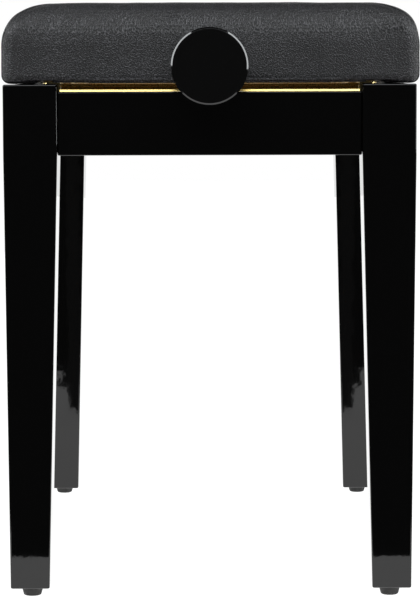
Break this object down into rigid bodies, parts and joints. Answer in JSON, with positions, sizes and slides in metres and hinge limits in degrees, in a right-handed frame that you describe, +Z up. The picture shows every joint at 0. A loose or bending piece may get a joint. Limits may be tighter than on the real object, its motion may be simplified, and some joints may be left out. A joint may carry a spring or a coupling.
{
  "type": "piano bench",
  "caption": "Height-adjustable piano bench with tapered glossy black legs, a padded black leather seat and a brass-plated scissor lift turned by round side knobs.",
  "frame": {"origin": "on the floor under the middle of the bench, knobs included", "axes": "+Z up; +Y along the bench, away from the front end that the picture shows; +X to the right seen from that end"},
  "size_m": [0.33, 0.618, 0.4754],
  "materials": {
    "lacquer": "black polyester lacquer on wood, polished to a mirror gloss",
    "knob_black": "black, glossy",
    "hide": "black grained leather cloth, satin",
    "foam": "open-cell upholstery foam, matte",
    "plywood": "sanded plywood",
    "hardwood": "planed beech, unfinished",
    "rubber": "dark grey moulded rubber, matte",
    "brass_plate": "sheet steel with bright brass-coloured plating",
    "zinc": "bright zinc-plated steel",
    "steel": "turned steel, lightly greased"
  },
  "bodies": {
    "base": {"leg_front_left": "lacquer", "leg_front_right": "lacquer", "leg_rear_left": "lacquer", "leg_rear_right": "lacquer", "foot_front_left": "rubber", "foot_front_right": "rubber", "foot_rear_left": "rubber", "foot_rear_right": "rubber", "end_apron_front": "lacquer", "end_apron_rear": "lacquer", "side_apron_left": "lacquer", "side_apron_right": "lacquer", "corner_block_front_left": "hardwood", "corner_block_front_right": "hardwood", "corner_block_rear_left": "hardwood", "corner_block_rear_right": "hardwood", "leg_bolt_front_left": "zinc", "leg_bolt_front_right": "zinc", "leg_bolt_rear_left": "zinc", "leg_bolt_rear_right": "zinc", "lower_rail_left": "brass_plate", "lower_rail_right": "brass_plate", "lower_end_plate_front": "brass_plate", "lower_end_plate_rear": "brass_plate", "rail_screw_front_left": "zinc", "rail_screw_front_right": "zinc", "rail_screw_rear_left": "zinc", "rail_screw_rear_right": "zinc", "lower_pivot_bolt_left": "zinc", "lower_pivot_bolt_right": "zinc"},
    "seat": {"leather_cover": "hide", "foam_pad": "foam", "seat_board": "plywood", "side_skirt_left": "hardwood", "side_skirt_right": "hardwood", "end_skirt_front": "hardwood", "end_skirt_rear": "hardwood", "upper_rail_left": "brass_plate", "upper_rail_right": "brass_plate", "upper_end_plate_front": "brass_plate", "upper_end_plate_rear": "brass_plate", "seat_screw_front_left": "zinc", "seat_screw_front_right": "zinc", "seat_screw_rear_left": "zinc", "seat_screw_rear_right": "zinc", "upper_pivot_bolt_left": "zinc", "upper_pivot_bolt_right": "zinc"},
    "arm_a": {"lift_arm_a_left": "brass_plate", "lift_arm_a_right": "brass_plate", "centre_bolt_left": "zinc", "centre_bolt_right": "zinc"},
    "arm_b": {"lift_arm_b_left": "brass_plate", "lift_arm_b_right": "brass_plate", "cross_rod": "steel"},
    "carriage": {"lift_nut": "zinc"},
    "drive": {"spindle": "steel", "spindle_collar_front": "zinc", "spindle_collar_rear": "zinc", "knob_front": "knob_black", "knob_rear": "knob_black"}
  },
  "joints": [
    {"name": "seat_lift", "type": "slide", "parent": "base", "child": "seat", "axis": [0, 0, 1], "range_m": [0, 0.09]},
    {"name": "arm_a_swing", "type": "hinge", "parent": "base", "child": "arm_a", "pos_m": [0, -0.198, 0.384], "axis": [1, 0, 0], "range_deg": [0, 13.2]},
    {"name": "arm_b_swing", "type": "hinge", "parent": "seat", "child": "arm_b", "pos_m": [0, -0.198, 0.42], "axis": [1, 0, 0], "range_deg": [-13.2, 0]},
    {"name": "carriage_level", "type": "hinge", "parent": "arm_a", "child": "carriage", "pos_m": [0, 0.20038, 0.42], "axis": [1, 0, 0], "range_deg": [-13.2, 0]},
    {"name": "knob_turn", "type": "hinge", "parent": "seat", "child": "drive", "pos_m": [0, 0, 0.4242], "axis": [0, 1, 0], "range_deg": [0, 2250]}
  ],
  "couplings": [
    {"joint": "arm_a_swing", "follows": "seat_lift", "rad_per_m": 2.5593},
    {"joint": "arm_b_swing", "follows": "seat_lift", "rad_per_m": -2.5593},
    {"joint": "carriage_level", "follows": "seat_lift", "rad_per_m": -2.5593},
    {"joint": "knob_turn", "follows": "seat_lift", "rad_per_m": 436.1}
  ]
}
